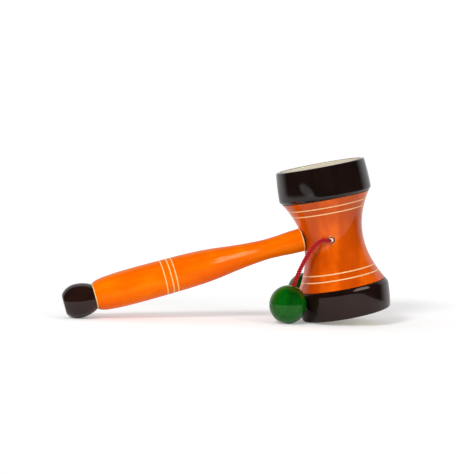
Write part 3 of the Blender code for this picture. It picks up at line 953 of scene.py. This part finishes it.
def rope(name, route, start, reach):
    """A cord of three strands, each laid up from three yarns.

    It starts crushed to a share of its width, and reaches the full width that far along.
    """
    points = spaced(route, STRAND_STEP)
    sides = sides_along(points)
    # Three equal rods that touch have this share of the radius round them all
    third = 1 / (1 + 2 / math.sqrt(3))
    strand = CORD_RADIUS * third
    yarn = strand * third * YARN_PRESS
    curve = bpy.data.curves.new(name, "CURVE")
    curve.dimensions = "3D"
    curve.bevel_depth = yarn
    curve.bevel_resolution = 2
    curve.use_fill_caps = True
    curve.materials.append(cotton)
    for s in range(3):
        for y in range(3):
            spline = curve.splines.new("POLY")
            spline.points.add(len(points) - 1)
            for i, (point, (across, up)) in enumerate(zip(points, sides)):
                along = i * STRAND_STEP
                laid = 2 * math.pi * (along / CORD_LAY + s / 3)
                spun = 2 * math.pi * (y / 3 - along / YARN_LAY)
                wide = (CORD_RADIUS - strand) * math.cos(laid) + (strand - yarn) * math.cos(spun)
                high = (CORD_RADIUS - strand) * math.sin(laid) + (strand - yarn) * math.sin(spun)
                full = min(1.0, start + (1 - start) * along / reach)
                spline.points[i].co = (*(point + (across * wide + up * high) * full), 1.0)
                spline.points[i].radius = full
    return as_mesh(name, curve, points)


def knot(name, body, node, place):
    """The cord's end in an overhand knot, drawn up tight under the bead."""
    curve = bpy.data.curves.new(name, "CURVE")
    curve.dimensions = "3D"
    curve.bevel_depth = KNOT_CORD
    curve.bevel_resolution = 3
    curve.materials.append(cotton)
    spline = curve.splines.new("POLY")
    spline.use_cyclic_u = True
    spline.points.add(KNOT_STEPS - 1)
    # The bare curve reaches 3 from its middle
    size = (KNOT_RADIUS - KNOT_CORD) / 3
    for i, point in enumerate(spline.points):
        t = 2 * math.pi * i / KNOT_STEPS
        x = math.sin(t) + 2 * math.sin(2 * t)
        y = math.cos(t) - 2 * math.cos(2 * t)
        z = -KNOT_DEPTH * math.sin(3 * t)
        point.co = (*(place @ (Vector((x, y, z)) * size)), 1.0)
    made = as_mesh(name, curve, [place.to_translation()])
    return stand_for(made, body, "red_cord", node)


def striker(side_name, side, cord_way, cord_reach, bead_reach):
    """A cord out of its hole, through its bead to the knot below, as the part's source lays it."""
    root = Vector(joints[side_name + "_swing"]["pos_m"])
    axis = Vector(joints[side_name + "_spin"]["axis"]).normalized()
    centre = Vector(joints[side_name + "_spin"]["pos_m"])
    entry = centre + axis * BEAD_LENGTH / 2
    way = drum_seat.to_3x3() @ Vector(cord_way).normalized()
    knot_centre = centre - axis * KNOT_PLACE
    free = bezier(root, root + way * cord_reach, entry + axis * bead_reach, entry, FREE_STEPS)
    bore = [entry.lerp(knot_centre, share) for share in evenly(0, 1, BORE_STEPS)]
    route = free + bore[1:]
    cord = rope(side_name + "_twisted_cord", route, *CORD_START)
    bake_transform(cord)
    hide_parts(side_name + "_cord_root", side_name + "_cord")
    place = seat(centre, axis, Vector((1, 0, 0)))
    ball = bead(side_name + "_ball", side_name + "_ball", side_name + "_bead", place)
    place = seat(knot_centre, axis, Vector((1, 0, 0)))
    tie = knot(side_name + "_overhand_knot", side_name + "_line", side_name + "_knot", place)
    inwards = Vector((1, -side, 1))
    inside = drum_seat @ (mouth(side) + inwards * Vector(STUB_INSIDE))
    edge = drum_seat @ (mouth(side) + inwards * Vector(STUB_EDGE))
    crushed = bezier(inside, edge, root - way * STUB_LEAD, root, STUB_STEPS)
    stub = rope(side_name + "_cord_in_hole", crushed, *STUB_START)
    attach(stub, "rattle")
    points = spaced(route, PATH_STEP)


upside_down = Matrix.Rotation(math.pi, 4, "X")
upright = Matrix.Identity(4)

striker("front", -1, *FRONT_CORD)
striker("back", 1, *BACK_CORD)
drum_body()
upper_ring = hoop("upper_ring", "upper_hoop", UPPER_HOOP, upright, upper_lac)
lower_ring = hoop("lower_ring", "lower_hoop", LOWER_HOOP, upside_down, lower_lac)
head("upper_hide", "upper_head", upright)
head("lower_hide", "lower_head", upside_down)
peg("front_pin", "front_peg", -1)
peg("back_pin", "back_peg", 1)
turned_handle = handle()
knob()
glint("handle_strip", HANDLE_STRIP, turned_handle, HANDLE_STRIP_LEAN)
glint("upper_card", UPPER_CARD, upper_ring)
glint("lower_strip", LOWER_STRIP, lower_ring)
softbox("bounce", *BOUNCE, turned_handle)
